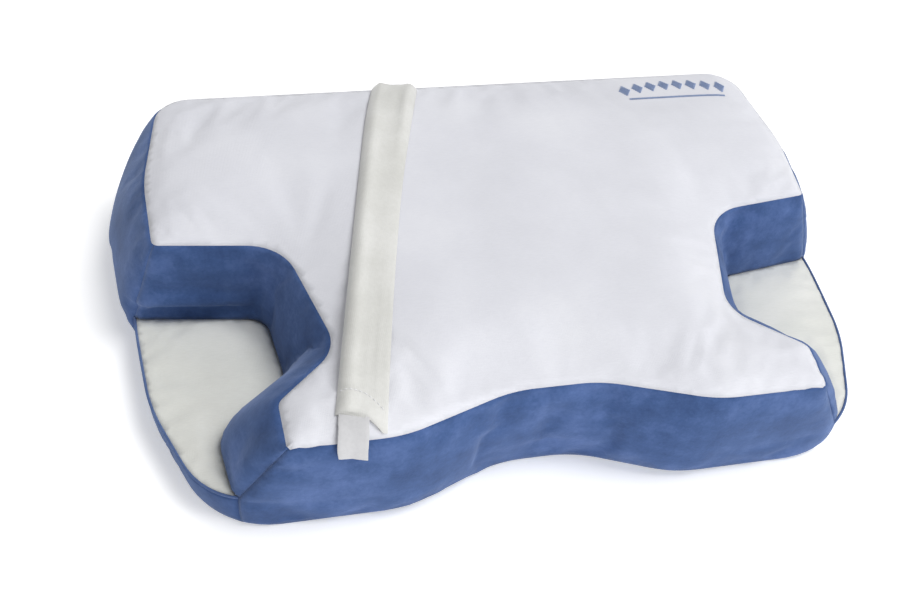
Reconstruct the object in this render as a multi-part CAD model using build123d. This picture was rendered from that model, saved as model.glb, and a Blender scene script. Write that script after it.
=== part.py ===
from build123d import *
import os
from math import atan2, cos, degrees, hypot, sin

# Contoured side-sleeper pillow: a thin base of the full outline carries a thick upper block.
# Two side recesses are cut into the block, and a tether strap lies over the top.
# Millimetres. +Z up, +X to the user's right, -Y to the neck side, origin under the box centre.

# ---- driving dimensions ----
COVER = 2.0            # thickness of the cover's fabrics
BASE_TOP = 25.0        # height of the ledge in the side recesses
FOOT_Z = BASE_TOP - COVER
LOFT_TOP = 110.0       # height at which the block's upper outline is given
CROWN_Z = 104.0        # highest point of the top panel
CROWN_Y = 80.0
CROWN_R = 2400.0       # radius of the crowned top
LAYER = 12.0           # thickness of one height-adjusting layer
FIBRE = 8.0            # thickness of the soft fibre pad under the top panel
FRONT_Y = -161.0       # front of the two lobes
BACK_Y = 166.0         # back edge at the base
BACK_LEAN = 16.0       # how far the back wall leans in by LOFT_TOP
FRONT_RISE = 2.0       # how far the front wall leans out by LOFT_TOP

# Half outlines from the back centre round the right side to the front centre: x, y, corner radius.
BASE = [
    (258, BACK_Y, 48),
    (266, 91, 120),
    (246, -75, 140),
    (212, FRONT_Y, 62),
    (90, FRONT_Y, 90),
    (26, -135, 90),
]
BLOCK_FOOT = [
    (258, BACK_Y, 48),
    (266, 91, 120),
    (255.6, 5, 12),
    (170, -7, 18),
    (161, -71, 30),
    (206, -102, 20),
    (184, FRONT_Y, 12),
    (90, FRONT_Y, 90),
    (26, -135, 90),
]
BLOCK_TOP = [
    (223, BACK_Y - BACK_LEAN, 26),
    (234, 60, 150),
    (230, 5, 12),
    (151, -3, 34),
    (120, -102, 26),
    (154, -143, 10),
    (158, FRONT_Y - FRONT_RISE, 12),
    (104, FRONT_Y - FRONT_RISE, 100),
    (29, -141, 100),
]

# Where the cover's panels are sewn to each other.
REAR_SEAM_X = 200.0    # back gusset to side gusset
RECESS_SEAM_Y = 10.0   # side gusset to recess wall, at the recess's rear corner
LOBE_SEAM_Y = -151.0   # recess wall to front gusset, at the wing's front corner
SCALLOP_X = 112.0      # everything in front between these belongs to the front gusset
PIPING = 3.0           # piping round the ledges
FAR = 400.0            # half size of the cutting boxes

# Zipper in the back wall, in the wall's own frame: u along -X, v up the wall, w outward.
ZIP_Z = 52.0
ZIP_HALF = 172.0
ZIP_SLOT = 10.0
ZIP_GAP = 0.7          # half gap between the two coils
TAPE_T = 0.6
COIL_W = 1.2
COIL_T = 1.4
STOP_L = 3.0
SLIDER_L = 9.0
SLIDER_W = 7.2
SLIDER_X = 156.0       # where the slider stands when the cover is closed
PULL_AXIS_W = 3.7      # pull's hinge, outward from the wall

# Tether strap, its root on the back wall and the closing tab on its end.
STRAP_W = 36.0
STRAP_T = 8.0
STRAP_SKIN = 1.6
STRAP_GAP = 0.5        # air under the strap and the tab
STRAP_BACK_X = -50.0
STRAP_FRONT_X = -122.0
HINGE_Y = 158.0
STRAP_END_Y = -155.0
ANCHOR_T = 3.0
ANCHOR_BOTTOM = 62.0
TAB_W = 18.0
TAB_T = 1.6
TAB_X = -129.0
TAB_BOTTOM = 71.0
PATCH_TOP = 83.0       # just under the top seam
TAB_WALL = 1.8         # the front wall's lean where the patches lie
PATCH_T = 0.8
PATCH_GAP = 0.3

# Generic embroidered motif near the back right corner.
MOTIF_X = 168.0
MOTIF_Y = 132.0        # middle of the arc's highest lozenges
MOTIF_COUNT = 8
MOTIF_STEP = 11.5
MOTIF_HALF_W = 4.6
MOTIF_HALF_H = 8.0
MOTIF_ARCH = 0.45      # how fast the arc drops, per step squared
BAR_W = 1.8            # underline
BAR_DROP = 18.0        # from the arc's top row to the underline
MOTIF_T = 0.5


def full_outline(half):
    """Mirror a half outline into a closed clockwise list of corners."""
    return half + [(-x, y, r) for x, y, r in reversed(half)]


def inset_corners(corners, depth):
    """Move every edge of a clockwise outline inward by depth and keep its corners parallel."""
    moved = []
    for i, (x, y, r) in enumerate(corners):
        px, py, _ = corners[i - 1]
        nx, ny, _ = corners[(i + 1) % len(corners)]
        la = hypot(x - px, y - py)
        lb = hypot(nx - x, ny - y)
        ax, ay = (x - px) / la, (y - py) / la
        bx, by = (nx - x) / lb, (ny - y) / lb
        share = depth / (1 + ax * bx + ay * by)
        convex = ax * by - ay * bx < 0
        radius = r - depth if convex else r + depth
        moved.append((x + share * (ay + by), y - share * (ax + bx), radius))
    return moved


def outline(half, z, depth=0.0):
    """Face bounded by a mirrored outline at height z, inset by depth."""
    corners = inset_corners(full_outline(half), depth)
    points = [(x, y) for x, y, _ in corners]
    radii = [r for _, _, r in corners]
    return Pos(0, 0, z) * make_face(FilletPolyline(*points, radius=radii, close=True))


def slab(half, low, high, depth=0.0):
    """Prism of an outline between two heights."""
    return extrude(outline(half, low, depth), amount=high - low)


def block(depth=0.0):
    """Upper block with its leaning walls, taller than the crown."""
    return loft([outline(BLOCK_FOOT, FOOT_Z, depth), outline(BLOCK_TOP, LOFT_TOP, depth)], ruled=True)


def crown(offset=0.0):
    """Ball whose top is the crowned top surface, with its poles out at the sides."""
    return Pos(0, CROWN_Y, CROWN_Z - CROWN_R) * Rot(0, 90, 0) * Sphere(CROWN_R + offset)


def crown_z(x, y, offset=0.0):
    """Height of the crowned surface above a point."""
    return CROWN_Z - CROWN_R + ((CROWN_R + offset) ** 2 - x * x - (y - CROWN_Y) ** 2) ** 0.5


def span(x0, x1, y0, y1, z0, z1):
    """Box given by its limits."""
    middle = Pos((x0 + x1) / 2, (y0 + y1) / 2, (z0 + z1) / 2)
    return middle * Box(x1 - x0, y1 - y0, z1 - z0)


def region(x0, x1, y0, y1):
    """Cutting box over the whole height."""
    return span(x0, x1, y0, y1, -10, FAR)


def mirrored(shape):
    """The same shape on the user's left."""
    return mirror(shape, about=Plane.YZ)


nodes = {}


# ---- foam ----
def make_foams():
    hollow = block(COVER) & crown(-COVER)
    lower_top = FOOT_Z + LAYER
    upper_top = lower_top + LAYER
    nodes["base_foam"] = slab(BASE, COVER, FOOT_Z, COVER)
    nodes["height_layer_lower"] = hollow & span(-FAR, FAR, -FAR, FAR, FOOT_Z, lower_top)
    nodes["height_layer_upper"] = hollow & span(-FAR, FAR, -FAR, FAR, lower_top, upper_top)
    thick = hollow & span(-FAR, FAR, -FAR, FAR, upper_top, FAR)
    core_dome = crown(-COVER - FIBRE)
    nodes["core_foam"] = thick & core_dome
    nodes["top_fibre_pad"] = thick - core_dome


# ---- cover panels ----
def make_cover():
    outer = block()
    nodes["top_panel"] = (outer & crown()) - crown(-COVER)
    nodes["bottom_panel"] = slab(BASE, 0, COVER)

    block_ring = (outer - block(COVER)) & crown(-COVER)
    base_ring = slab(BASE, COVER, FOOT_Z) - slab(BASE, COVER, FOOT_Z, COVER)
    front = region(-FAR, FAR, -FAR, LOBE_SEAM_Y) + region(-SCALLOP_X, SCALLOP_X, -FAR, 0)
    back = region(-REAR_SEAM_X, REAR_SEAM_X, RECESS_SEAM_Y, FAR)
    side = region(REAR_SEAM_X, FAR, RECESS_SEAM_Y, FAR)
    recess = region(SCALLOP_X, FAR, LOBE_SEAM_Y, RECESS_SEAM_Y)

    nodes["front_gusset"] = (block_ring & front) + (base_ring & front)
    right = {
        "side_gusset": (block_ring & side) + (base_ring & side),
        "recess_wall": block_ring & recess,
        "ledge_band": base_ring & recess,
    }
    ledge = slab(BASE, FOOT_Z, BASE_TOP) - outer
    ledge_cut = region(SCALLOP_X, FAR, LOBE_SEAM_Y, RECESS_SEAM_Y + 3) + region(180, FAR, -FAR, LOBE_SEAM_Y)
    right["ledge_panel"] = ledge & ledge_cut
    low, high = BASE_TOP + 0.5 - PIPING, BASE_TOP + 0.5
    cord = slab(BASE, low, high, -PIPING) - slab(BASE, low, high)
    right["ledge_piping"] = cord & recess
    for name, shape in right.items():
        nodes["right_" + name] = shape
        nodes["left_" + name] = mirrored(shape)

    wall = (block_ring & back) + (base_ring & back)
    wall -= zip_place(0, 0, 0) * Box(2 * ZIP_HALF, ZIP_SLOT, 8 * COVER)
    above = zip_place(0, FAR / 2, 0) * Box(2 * FAR, FAR, 60)
    nodes["back_gusset_upper"] = wall & above
    nodes["back_gusset_lower"] = wall - above


# ---- zipper ----
LEAN = atan2(BACK_LEAN, LOFT_TOP - FOOT_Z)
ZIP_Y = BACK_Y - BACK_LEAN * (ZIP_Z - FOOT_Z) / (LOFT_TOP - FOOT_Z)
BACK_WALL = Plane(origin=(0, ZIP_Y, ZIP_Z), x_dir=(-1, 0, 0), z_dir=(0, cos(LEAN), sin(LEAN)))


def zip_place(u, v, w):
    """Place in the back wall's frame."""
    return BACK_WALL * Pos(u, v, w)


def make_zipper():
    tape_v = ZIP_SLOT / 2 - ZIP_GAP
    for name, side in (("upper", 1), ("lower", -1)):
        tape_mid = side * (ZIP_GAP + tape_v / 2)
        coil_mid = side * (ZIP_GAP + COIL_W / 2)
        coil_l = 2 * (ZIP_HALF - STOP_L - 1)
        nodes["zipper_tape_" + name] = zip_place(0, tape_mid, -TAPE_T / 2) * Box(2 * ZIP_HALF, tape_v, TAPE_T)
        nodes["zipper_coil_" + name] = zip_place(0, coil_mid, COIL_T / 2) * Box(coil_l, COIL_W, COIL_T)
    stop_u = ZIP_HALF - 1 - STOP_L / 2
    stops = [zip_place(u, 0, 0.8) * Box(STOP_L, 4.2, 1.6) for u in (-stop_u, stop_u)]
    nodes["zipper_stops"] = Compound(children=stops)

    here = Pos(SLIDER_X, 0, 0)
    plate = zip_place(0, 0, 2.3) * Box(SLIDER_L, SLIDER_W, 1.2)
    inner = zip_place(0, 0, -1.3) * Box(SLIDER_L, SLIDER_W, 0.8)
    post = zip_place(-2.5, 0, 0.4) * Box(3, 0.8, 2.8)
    slider = plate + inner + post
    for side in (-1, 1):
        slider += zip_place(0, side * (SLIDER_W / 2 - 0.3), 1.0) * Box(SLIDER_L, 0.6, 1.5)
    arch = zip_place(0, 0, 4.1) * Box(7, 1.4, 2.6) - zip_place(0, 0, 3.7) * Box(4.4, 1.4, 1.8)
    nodes["zipper_slider"] = here * (slider + arch)

    bar = zip_place(0, 0, PULL_AXIS_W) * Rot(90, 0, 0) * Cylinder(0.6, 5.6)
    arms = [zip_place(4, side * 2.2, PULL_AXIS_W) * Box(8, 1.2, 1.2) for side in (-1, 1)]
    grip = zip_place(16, 0, PULL_AXIS_W) * Box(18, 6.4, 1.2)
    hole = zip_place(19, 0, PULL_AXIS_W) * Box(8, 2.4, 4)
    nodes["zipper_pull"] = here * (bar + arms[0] + arms[1] + grip - hole)


# ---- tether strap ----
def strap_strip(margin):
    """Slanted strip in plan, inset by margin all round."""
    slope = (STRAP_FRONT_X - STRAP_BACK_X) / (STRAP_END_Y - HINGE_Y)
    corners = []
    for y in (HINGE_Y - margin, STRAP_END_Y + margin):
        middle = STRAP_BACK_X + slope * (y - HINGE_Y)
        half = STRAP_W / 2 - margin
        side = half if y > 0 else -half
        corners += [(middle - side, y), (middle + side, y)]
    return extrude(make_face(Polyline(*corners, close=True)), amount=FAR)


def make_tether():
    top = STRAP_GAP + STRAP_T
    pad = strap_strip(STRAP_SKIN) & (crown(top - STRAP_SKIN) - crown(STRAP_GAP + STRAP_SKIN))
    sleeve = strap_strip(0) & (crown(top) - crown(STRAP_GAP))
    nodes["tether_padding"] = pad
    nodes["tether_sleeve"] = sleeve - pad

    x0, x1 = STRAP_BACK_X - STRAP_W / 2, STRAP_BACK_X + STRAP_W / 2
    flap = zip_place(-STRAP_BACK_X, 30, ANCHOR_T / 2 - 2) * Box(STRAP_W, 60, ANCHOR_T + 4)
    flap &= span(x0, x1, 0, FAR, ANCHOR_BOTTOM, crown_z(STRAP_BACK_X, HINGE_Y) - 0.8)
    shelf = span(x0, x1, HINGE_Y - 12, HINGE_Y - 0.4, 95, crown_z(x0, HINGE_Y) - 0.2)
    nodes["tether_anchor"] = (flap + shelf) - block() - nodes["tether_sleeve"]

    x0, x1 = TAB_X - TAB_W / 2, TAB_X + TAB_W / 2
    patch_y = FRONT_Y - TAB_WALL - PATCH_T
    hook_y = patch_y - PATCH_GAP - PATCH_T
    tab_y = hook_y - TAB_T
    over = span(x0, x1, tab_y, STRAP_END_Y - PATCH_GAP, BASE_TOP, FAR) & (
        crown(STRAP_GAP + TAB_T) - crown(STRAP_GAP))
    hang = span(x0, x1, tab_y, hook_y, TAB_BOTTOM, LOFT_TOP) & crown(STRAP_GAP + TAB_T)
    nodes["tether_tab"] = over + hang
    nodes["tab_hook_patch"] = span(x0 + 1, x1 - 1, hook_y, hook_y + PATCH_T, TAB_BOTTOM + 1, PATCH_TOP)
    patch = span(x0 - 1, x1 + 1, patch_y, FRONT_Y + 2, TAB_BOTTOM - 2, PATCH_TOP)
    nodes["front_loop_patch"] = patch - block()


# ---- embroidery ----
def make_motif():
    lozenge = Polyline((-MOTIF_HALF_W, 0), (0, MOTIF_HALF_H), (MOTIF_HALF_W, 0), (0, -MOTIF_HALF_H), close=True)
    shapes = []
    for i in range(MOTIF_COUNT):
        step = i - (MOTIF_COUNT - 1) / 2
        place = Pos(MOTIF_X + step * MOTIF_STEP, MOTIF_Y - MOTIF_ARCH * step * step, 0)
        shapes.append(extrude(place * make_face(lozenge), FAR))
    bar_half = MOTIF_STEP * (MOTIF_COUNT - 1) / 2
    bar_y = MOTIF_Y - BAR_DROP
    shapes.append(span(MOTIF_X - bar_half, MOTIF_X + bar_half, bar_y - BAR_W / 2, bar_y + BAR_W / 2, 0, FAR))
    skin = crown(MOTIF_T) - crown()
    nodes["corner_embroidery"] = Compound(children=[shape & skin for shape in shapes])


make_foams()
make_cover()
make_zipper()
make_tether()
make_motif()

os.makedirs("parts", exist_ok=True)
for name, shape in nodes.items():
    solids = shape.solids()
    export_step(solids[0] if len(solids) == 1 else Compound(children=solids), f"parts/{name}.step")

box = Compound(children=[s for shape in nodes.values() for s in shape.solids()]).bounding_box()
print("box", box.min, box.max)
print("back wall lean", round(degrees(LEAN), 2), "zip line y", round(ZIP_Y, 2))
print("strap hinge", STRAP_BACK_X, HINGE_Y, round(crown_z(STRAP_BACK_X, HINGE_Y, STRAP_GAP), 2))
print("tab hinge", TAB_X, STRAP_END_Y - PATCH_GAP, round(crown_z(TAB_X, STRAP_END_Y, STRAP_GAP + TAB_T), 2))
print("pull hinge", BACK_WALL.location.position + BACK_WALL.z_dir * PULL_AXIS_W)
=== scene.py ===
import math

import bmesh
import bpy
import numpy as np
from mathutils import Matrix, Vector, geometry
from mathutils.bvhtree import BVHTree


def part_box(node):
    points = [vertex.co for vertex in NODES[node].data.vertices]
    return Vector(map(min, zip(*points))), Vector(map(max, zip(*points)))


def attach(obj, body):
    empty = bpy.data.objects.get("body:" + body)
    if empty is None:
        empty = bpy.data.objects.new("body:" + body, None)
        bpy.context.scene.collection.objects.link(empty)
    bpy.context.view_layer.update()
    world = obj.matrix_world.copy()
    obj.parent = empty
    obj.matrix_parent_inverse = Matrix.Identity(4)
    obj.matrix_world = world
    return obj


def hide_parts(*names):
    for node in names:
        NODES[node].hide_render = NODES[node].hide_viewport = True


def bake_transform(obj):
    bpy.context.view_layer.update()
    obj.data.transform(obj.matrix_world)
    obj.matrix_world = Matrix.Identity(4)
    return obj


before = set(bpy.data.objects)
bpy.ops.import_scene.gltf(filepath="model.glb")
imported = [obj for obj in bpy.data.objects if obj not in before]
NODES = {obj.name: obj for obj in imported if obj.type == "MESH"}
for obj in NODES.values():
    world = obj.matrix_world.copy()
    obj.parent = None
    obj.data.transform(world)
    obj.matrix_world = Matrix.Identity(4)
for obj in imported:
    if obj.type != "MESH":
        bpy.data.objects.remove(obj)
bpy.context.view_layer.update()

MM = 0.001

# --- shape of the pillow, in millimetres
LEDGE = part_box("right_ledge_panel")[1].z / MM
GRID = 4.0            # spacing of the fabric meshes
CLOTH_T = 1.6         # thickness of the cover's fabrics
EDGE_ROLL = 3.0       # how far the bottom edge is pulled in under the base
SEAM_FRONT = 83.0     # height of the top seam at the front and at the back
SEAM_BACK = 100.0
FRONT_Y = -163.0
BACK_Y = 153.0
REAR_SEAM_X = 200.0

# Half outlines from the back centre round one side to the front centre: x, y, corner radius.
# The sewn cover isn't quite even, so its two sides differ by a few millimetres; the base is symmetric.
BASE_REAR = [(258, 166, 48), (266, 91, 120)]
BASE_FRONT = [(90, -161, 90), (26, -135, 90)]
BASE_HALF = BASE_REAR + [(246, -75, 140), (212, -161, 62)] + BASE_FRONT
FOOT_RIGHT = BASE_REAR + [
    (255.6, 5, 12),
    (178, -7, 14),
    (170, -64, 34),
    (213, -100, 24),
    (206, -153, 9),
] + BASE_FRONT
FOOT_LEFT = BASE_REAR + [
    (255.6, 5, 12),
    (166, -7, 16),
    (157, -72, 30),
    (204, -104, 22),
    (197, -153.5, 9),
] + BASE_FRONT
SEAM_RIGHT = [
    (228, BACK_Y, 26),
    (237, 66, 150),
    (230.5, 6, 4),
    (153, -4, 34),
    (130, -94, 26),
    (173, -130, 9),
    (171, FRONT_Y, 3),
    (98, FRONT_Y, 90),
    (28, -140, 90),
]
SEAM_LEFT = [
    (228, BACK_Y, 26),
    (240, 66, 150),
    (236, 5, 5),
    (153, -4, 34),
    (128, -94, 26),
    (168, -130, 9),
    (166, FRONT_Y, 3),
    (98, FRONT_Y, 90),
    (28, -140, 90),
]
RECESS_CORNER = 2     # places of the recess's rear corner and the wing's front corner in the seam lists
WING_CORNER = 6
PUCKER = 0.9          # small puckers where the top panel's front corners are sewn in
PUCKER_REACH = 26.0


def outline(right, left):
    """Corners of a whole outline, from the back centre round the right side."""
    return right + [(-x, y, r) for x, y, r in reversed(left)]


def corner_arcs(corners):
    """For each rounded corner: centre, radius, start angle and turn."""
    arcs = []
    for i, (x, y, r) in enumerate(corners):
        here = np.array((x, y), float)
        a = np.array(corners[i - 1][:2], float) - here
        b = np.array(corners[(i + 1) % len(corners)][:2], float) - here
        a /= np.linalg.norm(a)
        b /= np.linalg.norm(b)
        half_angle = math.acos(np.clip(a @ b, -1, 1)) / 2
        middle = (a + b) / np.linalg.norm(a + b)
        centre = here + middle * r / math.sin(half_angle)
        start = here + a * r / math.tan(half_angle) - centre
        end = here + b * r / math.tan(half_angle) - centre
        turn = math.atan2(start[0] * end[1] - start[1] * end[0], start @ end)
        arcs.append((centre, r, math.atan2(start[1], start[0]), turn))
    return arcs


def outline_counts(corners, spacing):
    """How many points each corner and each edge of an outline gets."""
    arcs = corner_arcs(corners)
    counts = []
    for i, (_, r, _, turn) in enumerate(arcs):
        end = arc_point(arcs[i], 1)
        start = arc_point(arcs[(i + 1) % len(arcs)], 0)
        on_arc = max(4, 2 * round(r * abs(turn) / spacing / 2))
        on_edge = max(1, round(float(np.linalg.norm(start - end)) / spacing))
        counts.append((on_arc, on_edge))
    return counts


def arc_point(arc, share):
    centre, r, angle, turn = arc
    at = angle + turn * share
    return centre + r * np.array((math.cos(at), math.sin(at)))


def outline_loop(corners, counts):
    """Closed loop of points, and the index of the middle of each corner."""
    arcs = corner_arcs(corners)
    points, middles = [], []
    for i, (on_arc, on_edge) in enumerate(counts):
        middles.append(len(points) + on_arc // 2)
        points += [arc_point(arcs[i], k / on_arc) for k in range(on_arc + 1)]
        end = points[-1]
        start = arc_point(arcs[(i + 1) % len(arcs)], 0)
        points += [end + (start - end) * k / on_edge for k in range(1, on_edge)]
    return np.array(points), middles


def nearest_on(loop, points):
    """Nearest points of a closed loop."""
    a, b = loop, np.roll(loop, -1, axis=0)
    d = b - a
    found = []
    for p in points:
        t = np.clip(((p - a) * d).sum(1) / (d * d).sum(1), 0, 1)
        on = a + d * t[:, None]
        found.append(on[np.argmin(((on - p) ** 2).sum(1))])
    return np.array(found)


def outward(loop):
    """Horizontal outward normals of a clockwise loop."""
    along = np.roll(loop, -1, axis=0) - np.roll(loop, 1, axis=0)
    along /= np.linalg.norm(along, axis=1)[:, None]
    return np.column_stack((-along[:, 1], along[:, 0]))


def towards_back(points):
    """0 at the front seam, 1 at the back seam."""
    return (points[:, 1] - FRONT_Y) / (BACK_Y - FRONT_Y)


def seam_height(points):
    return SEAM_FRONT + (SEAM_BACK - SEAM_FRONT) * towards_back(points)


def steps_from(corner):
    """Steps round the seam from a corner, negative before it."""
    return (np.arange(N) - corner + N // 2) % N - N // 2


SEAM = outline(SEAM_RIGHT, SEAM_LEFT)
FOOT = outline(FOOT_RIGHT, FOOT_LEFT)
BASE = outline(BASE_HALF, BASE_HALF)
counts = outline_counts(SEAM, GRID)
seam_loop, seam_mid = outline_loop(SEAM, counts)
foot_loop, _ = outline_loop(FOOT, counts)
base_loop, _ = outline_loop(BASE, outline_counts(BASE, GRID))
N = len(seam_loop)
seam_z = seam_height(seam_loop)
for corner in (seam_mid[WING_CORNER], seam_mid[len(seam_mid) - 1 - WING_CORNER]):
    reach = steps_from(corner)
    seam_z += PUCKER * np.sin(1.9 * reach + 0.6) * np.exp(-(reach * GRID / PUCKER_REACH) ** 2)
seam_out = outward(seam_loop)
foot_out = outward(foot_loop)
base_out = outward(base_loop)


def back_index(x):
    """Loop index of the back edge's point nearest to x."""
    on_back = [i for i in range(N) if seam_loop[i, 1] > BACK_Y - 0.5]
    return min(on_back, key=lambda i: abs(seam_loop[i, 0] - x))


def run_of(start, end):
    """Loop indices from start round to end."""
    return [i % N for i in range(start, end + 1 + (N if end < start else 0))]


LAST = len(seam_mid) - 1
right_rear, left_rear = back_index(REAR_SEAM_X), back_index(-REAR_SEAM_X)
right_corner, right_wing = seam_mid[RECESS_CORNER], seam_mid[WING_CORNER]
left_wing, left_corner = seam_mid[LAST - WING_CORNER], seam_mid[LAST - RECESS_CORNER]
RUNS = {
    "right_side_gusset": run_of(right_rear, right_corner),
    "right_recess_wall": run_of(right_corner, right_wing),
    "front_gusset": run_of(right_wing, left_wing),
    "left_recess_wall": run_of(left_wing, left_corner),
    "left_side_gusset": run_of(left_corner, left_rear),
    "back_gusset": run_of(left_rear, right_rear),
}


# --- meshes
def new_object(name, points, faces, material=None, smooth=True):
    """Mesh object from points in millimetres."""
    mesh = bpy.data.meshes.new(name)
    mesh.from_pydata([tuple(p) for p in np.asarray(points, float) * MM], [], [tuple(f) for f in faces])
    mesh.validate()
    if smooth:
        mesh.shade_smooth()
    obj = bpy.data.objects.new(name, mesh)
    bpy.context.scene.collection.objects.link(obj)
    if material:
        mesh.materials.append(material)
    return obj


def grid_faces(rows, columns, closed=False):
    """Quads of a grid whose points are numbered row by row."""
    faces = []
    for r in range(rows - 1):
        for c in range(columns if closed else columns - 1):
            d = (c + 1) % columns
            faces.append((r * columns + c, r * columns + d, (r + 1) * columns + d, (r + 1) * columns + c))
    return faces


def barrel_faces(rings, sides, start=0):
    """Faces of a closed barrel, whose rings of points follow one another from start."""
    faces = [tuple(start + v for v in f) for f in grid_faces(rings, sides, closed=True)]
    faces.append(tuple(start + a for a in reversed(range(sides))))
    faces.append(tuple(start + (rings - 1) * sides + a for a in range(sides)))
    return faces


def closed_object(name, points, faces, material):
    """Closed mesh whose normals point outward."""
    obj = new_object(name, points, faces, MATERIALS[material])
    mesh = bmesh.new()
    mesh.from_mesh(obj.data)
    bmesh.ops.recalc_face_normals(mesh, faces=mesh.faces)
    mesh.to_mesh(obj.data)
    mesh.free()
    return obj


def lengths_along(line):
    """Length from a line's start to each of its points."""
    return np.concatenate(([0], np.cumsum(np.linalg.norm(np.diff(line, axis=0), axis=1))))


def at_lengths(line, wanted):
    """Points at given lengths along a line."""
    length = lengths_along(line)
    return np.column_stack([np.interp(wanted, length, line[:, k]) for k in range(3)])


def resampled(line, count):
    """The same line through evenly spaced points."""
    return at_lengths(line, np.linspace(0, lengths_along(line)[-1], count))


def inside(points, loop):
    """Which points lie inside a closed loop."""
    x, y = points[:, 0], points[:, 1]
    hit = np.zeros(len(points), bool)
    for (x0, y0), (x1, y1) in zip(loop, np.roll(loop, -1, axis=0)):
        if y0 != y1:
            crosses = (y0 > y) != (y1 > y)
            hit ^= crosses & (x < (x1 - x0) * (y - y0) / (y1 - y0) + x0)
    return hit


def edge_distance(points, loop):
    """Distance of each point to a closed loop."""
    a, b = loop, np.roll(loop, -1, axis=0)
    d = b - a
    length = (d * d).sum(1)
    best = np.full(len(points), 1e9)
    for k in range(len(a)):
        t = np.clip(((points - a[k]) @ d[k]) / length[k], 0, 1)
        best = np.minimum(best, np.linalg.norm(points - a[k] - t[:, None] * d[k], axis=1))
    return best


def filled(loop, spacing):
    """Even triangles over a closed loop: points, with the loop's first, and faces."""
    low, high = loop.min(0), loop.max(0)
    rows = np.arange(low[1], high[1], spacing * 0.866)
    inner = []
    for k, y in enumerate(rows):
        xs = np.arange(low[0] + (k % 2) * spacing / 2, high[0], spacing)
        inner.append(np.column_stack((xs, np.full(len(xs), y))))
    inner = np.concatenate(inner)
    inner = inner[inside(inner, loop)]
    inner = inner[edge_distance(inner, loop) > spacing * 0.6]
    points = np.concatenate((loop, inner))
    edges = [(i, (i + 1) % len(loop)) for i in range(len(loop))]
    out = geometry.delaunay_2d_cdt([Vector(p) for p in points], edges, [], 1, 1e-6)
    verts = np.array([tuple(v) for v in out[0]])
    faces = []
    for f in out[2]:
        p = verts[list(f)]
        area = (p[1, 0] - p[0, 0]) * (p[2, 1] - p[0, 1]) - (p[1, 1] - p[0, 1]) * (p[2, 0] - p[0, 0])
        faces.append(tuple(f) if area > 0 else tuple(reversed(f)))
    return verts, faces


# --- the cover's shape
UPPER_ROWS = 18       # rows of fabric from the top seam down to the ledge
LOWER_ROWS = 7        # and from the ledge down to the bottom edge
SHOULDER = 24.0       # how far in from the seam the top panel curves over
DOME_FRONT = 8.5      # rise of that shoulder at the front and at the back
DOME_BACK = 4.0
CROWN = 7.0           # further rise towards the middle
CROWN_REACH = 75.0
PROUD = {             # how far each wall bulges
    "right_side_gusset": 5.0,
    "left_side_gusset": 7.0,
    "right_recess_wall": 2.0,
    "left_recess_wall": 2.0,
    "front_gusset": 3.0,
    "back_gusset": 2.0,
}
WING_PROUD = {"left": 8.0, "right": 4.5}   # bulge of the wings' end walls
WING_Y = -88.0
WING_CREASE = 2.5     # how deep the seam between end wall and front gusset is drawn in
SEAM_VALLEY = 0.45    # how much less a wall bulges beside its end seams
WELT_RADIUS = 0.9     # piping along the ledges' outer edges
BOTTOM_INSET = 0.9    # how far the bottom panel's edge lies inside the walls
TUCK = 5.0            # fold low on the left recess's rear wall


def smoothed(values, width):
    """Running mean round a closed loop."""
    kernel = np.hanning(width + 2)[1:-1]
    kernel = kernel / kernel.sum()
    long = np.concatenate((values[-width:], values, values[:width]))
    return np.convolve(long, kernel, "same")[width:-width]


def top_height(points):
    """Height of the top panel before it is simulated."""
    d = edge_distance(points, seam_loop)
    back = np.clip(towards_back(points), 0, 1)
    dome = DOME_FRONT + (DOME_BACK - DOME_FRONT) * back
    rise = dome * (1 - np.exp(-2.2 * d / SHOULDER)) + CROWN * (1 - np.exp(-d / CROWN_REACH))
    return seam_height(points) + rise


proud = np.zeros(N)
whole = np.zeros(N)
for run_name, run in RUNS.items():
    proud[run] = PROUD[run_name]
    whole[run] = 0 if "recess" in run_name else 1
for side, bulge in WING_PROUD.items():
    wing = [i for i in RUNS[f"{side}_recess_wall"] if seam_loop[i, 1] < WING_Y]
    proud[wing] = bulge
proud = smoothed(proud, 13)
for corner in (right_corner, right_wing, left_wing, left_corner):
    away = np.abs(steps_from(corner)) * GRID
    proud *= 1 - SEAM_VALLEY * np.exp(-(away / 7) ** 2)
    if corner in (right_wing, left_wing):
        proud -= WING_CREASE * np.exp(-(away / 5) ** 2)
whole = smoothed(whole, 7)


# the fold runs along the left recess's rear wall and fades out towards the middle
from_middle = -foot_loop[:, 0]
tucked = np.where(np.abs(foot_loop[:, 1]) < 8, np.clip((from_middle - 172) / 30, 0, 1), 0) * (1 - whole)
tucked = smoothed(tucked, 9)


def ring_row(z_share, below=0.0):
    """One row of the cover's wall: z_share runs from the seam to the ledge, below from the ledge down."""
    z = seam_z + (LEDGE - seam_z) * z_share - LEDGE * below
    out = seam_out * (1 - z_share) + foot_out * z_share
    out /= np.linalg.norm(out, axis=1)[:, None]
    through = (seam_z - z) / seam_z
    over_all = (4 * through * (1 - through)).clip(0) ** 0.7
    over_wall = (4 * z_share * (1 - z_share)) ** 0.7
    push = proud * (whole * over_all + (1 - whole) * over_wall)
    fold = np.exp(-((z_share - 0.70) / 0.09) ** 2) - np.exp(-((z_share - 0.85) / 0.06) ** 2)
    push += TUCK * tucked * fold
    under = EDGE_ROLL * below ** 2.5
    flat = seam_loop + (foot_loop - seam_loop) * z_share + (on_base - foot_loop) * below
    return np.column_stack((flat + out * (push - under)[:, None], z))


on_base = nearest_on(base_loop, foot_loop)
ring = [ring_row(r / UPPER_ROWS) for r in range(UPPER_ROWS + 1)]
ring += [ring_row(1, r / LOWER_ROWS) for r in range(1, LOWER_ROWS + 1)]
ring = np.array(ring)


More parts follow.
